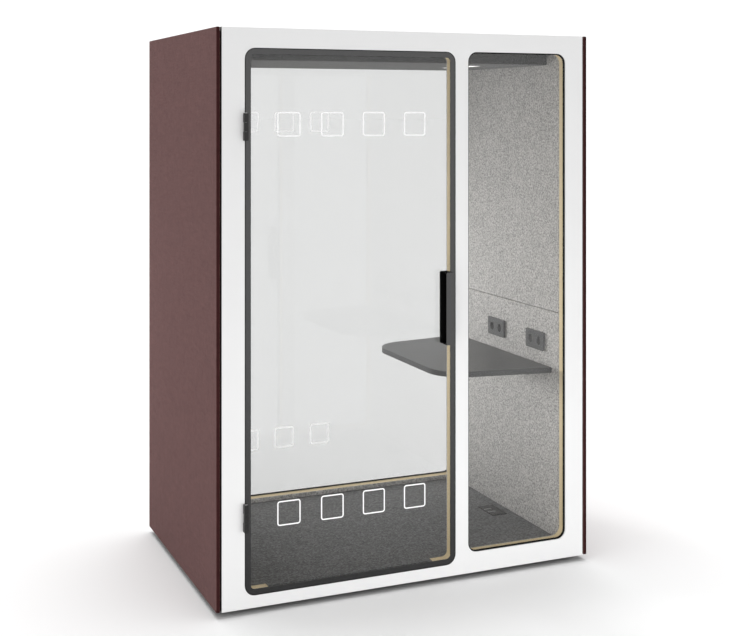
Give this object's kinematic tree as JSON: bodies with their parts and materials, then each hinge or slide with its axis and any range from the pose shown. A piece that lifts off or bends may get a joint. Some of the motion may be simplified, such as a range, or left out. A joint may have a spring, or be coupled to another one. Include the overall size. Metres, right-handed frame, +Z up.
{
  "type": "acoustic office pod",
  "caption": "Free-standing acoustic office pod: fabric side walls, hinged glass door, side window, rear glazing, felt lining, worktop, sockets, floor box, ceiling raft and fans.",
  "frame": {"origin": "on the ground at the centre of the bounding box, pull handle included", "axes": "+Z up, -Y towards the front face with the door, +X to the right seen from the front"},
  "size_m": [1.65, 1.155, 2.255],
  "materials": {
    "burgundy_fabric": "woven upholstery fabric stretched over board",
    "white_lacquer": "satin white lacquered board",
    "plywood": "clear-lacquered birch plywood",
    "wall_core": "light honeycomb and mineral-wool core",
    "dark_board": "black-stained board",
    "grey_felt": "mottled grey pressed felt",
    "raft_felt": "dark grey pressed felt",
    "carpet": "short grey loop pile",
    "clear_glass": "clear laminated glass",
    "black_rubber": "matt black rubber",
    "dark_metal": "satin dark grey powder coat",
    "black_metal": "satin black powder coat",
    "steel": "plain steel",
    "dark_laminate": "dark grey matt laminate on board",
    "grey_plastic": "matt dark grey moulding",
    "black_plastic": "matt black moulding",
    "pale_grey_plastic": "pale grey moulding",
    "lamp_diffuser": "opal diffuser"
  },
  "bodies": {
    "cabin": {"left_outer_panel": "burgundy_fabric", "right_outer_panel": "burgundy_fabric", "front_frame": "white_lacquer", "rear_frame": "white_lacquer", "lamp_housing": "white_lacquer", "front_inner_frame": "plywood", "rear_inner_frame": "plywood", "floor_panel": "plywood", "left_wall_core": "wall_core", "right_wall_core": "wall_core", "base_panel": "dark_board", "roof_panel": "dark_board", "left_felt_lower": "grey_felt", "left_felt_upper": "grey_felt", "right_felt_lower": "grey_felt", "right_felt_upper": "grey_felt", "front_felt": "grey_felt", "rear_felt": "grey_felt", "ceiling_raft": "raft_felt", "carpet": "carpet", "window_glass": "clear_glass", "rear_glass": "clear_glass", "window_seal": "black_rubber", "rear_seal": "black_rubber", "floor_box_tray": "dark_metal", "hinge_top_frame_leaf": "black_metal", "hinge_bottom_frame_leaf": "black_metal", "table_bracket_front": "black_metal", "table_bracket_rear": "black_metal", "hinge_top_pin": "steel", "hinge_bottom_pin": "steel", "door_magnet": "steel", "table_top": "dark_laminate", "socket_frame_front": "grey_plastic", "socket_frame_rear": "grey_plastic", "socket_insert_front_front": "grey_plastic", "socket_insert_front_rear": "grey_plastic", "socket_insert_rear_front": "grey_plastic", "socket_insert_rear_rear": "grey_plastic", "fan_left_housing": "black_plastic", "fan_right_housing": "black_plastic", "mains_inlet": "black_plastic", "lamp_driver": "pale_grey_plastic", "lamp_diffuser": "lamp_diffuser"},
    "door": {"door_frame": "dark_metal", "door_glass": "clear_glass", "door_seal": "black_rubber", "door_handle": "dark_metal", "door_push_plate": "black_metal", "hinge_top_door_leaf": "black_metal", "hinge_bottom_door_leaf": "black_metal"},
    "floor_box_lid_body": {"floor_box_lid": "dark_metal", "floor_box_pull_front": "pale_grey_plastic", "floor_box_pull_rear": "pale_grey_plastic"},
    "fan_left": {"fan_left_rotor": "black_plastic"},
    "fan_right": {"fan_right_rotor": "black_plastic"},
    "foot_front_left_body": {"foot_front_left": "steel"},
    "foot_front_right_body": {"foot_front_right": "steel"},
    "foot_rear_left_body": {"foot_rear_left": "steel"},
    "foot_rear_right_body": {"foot_rear_right": "steel"}
  },
  "joints": [
    {"name": "door_hinge", "type": "hinge", "parent": "cabin", "child": "door", "pos_m": [-0.7095, -0.5405, 1.13], "axis": [0, 0, -1], "range_deg": [0, 110]},
    {"name": "floor_box_lid_hinge", "type": "hinge", "parent": "cabin", "child": "floor_box_lid_body", "pos_m": [0.676, -0.0135, 0.0875], "axis": [0, 1, 0], "range_deg": [0, 95]},
    {"name": "fan_left_spin", "type": "hinge", "parent": "cabin", "child": "fan_left", "pos_m": [-0.36, 0.025, 2.2], "axis": [0, 0, 1], "continuous": true},
    {"name": "fan_right_spin", "type": "hinge", "parent": "cabin", "child": "fan_right", "pos_m": [0.36, 0.025, 2.2], "axis": [0, 0, 1], "continuous": true},
    {"name": "foot_front_left_screw", "type": "slide", "parent": "cabin", "child": "foot_front_left_body", "axis": [0, 0, -1], "range_m": [0, 0.015]},
    {"name": "foot_front_right_screw", "type": "slide", "parent": "cabin", "child": "foot_front_right_body", "axis": [0, 0, -1], "range_m": [0, 0.015]},
    {"name": "foot_rear_left_screw", "type": "slide", "parent": "cabin", "child": "foot_rear_left_body", "axis": [0, 0, -1], "range_m": [0, 0.015]},
    {"name": "foot_rear_right_screw", "type": "slide", "parent": "cabin", "child": "foot_rear_right_body", "axis": [0, 0, -1], "range_m": [0, 0.015]}
  ]
}
